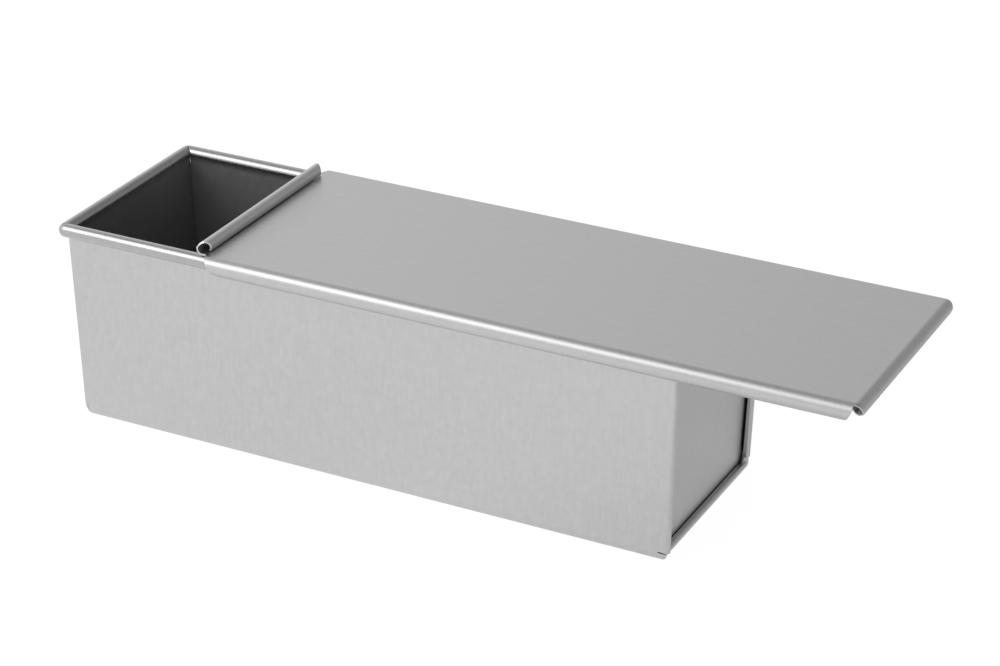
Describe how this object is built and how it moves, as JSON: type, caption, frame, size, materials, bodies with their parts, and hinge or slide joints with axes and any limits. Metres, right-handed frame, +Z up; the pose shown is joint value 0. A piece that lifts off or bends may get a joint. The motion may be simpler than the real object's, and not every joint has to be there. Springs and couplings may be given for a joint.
{
  "type": "pullman loaf pan",
  "caption": "Long straight-sided loaf pan of folded sheet steel with hemmed ends, a wired rolled rim and a flat lid whose curled sides slide along the rim.",
  "frame": {"origin": "centre of the pan's flat underside", "axes": "+X along the pan towards the end where the lid slides off, +Y across the pan, +Z up"},
  "size_m": [0.3971, 0.1174, 0.1078],
  "materials": {
    "pan_steel": "satin aluminised steel sheet, faint rolling lines",
    "lid_steel": "satin aluminised steel sheet, faint rolling lines",
    "wire_steel": "drawn steel wire"
  },
  "bodies": {
    "pan": {"trough": "pan_steel", "left_end_panel": "pan_steel", "right_end_panel": "pan_steel", "rim_wire": "wire_steel"},
    "lid": {"lid": "lid_steel"}
  },
  "joints": [
    {"name": "lid_slide", "type": "slide", "parent": "pan", "child": "lid", "axis": [1, 0, 0], "range_m": [-0.076, 0.24]}
  ]
}
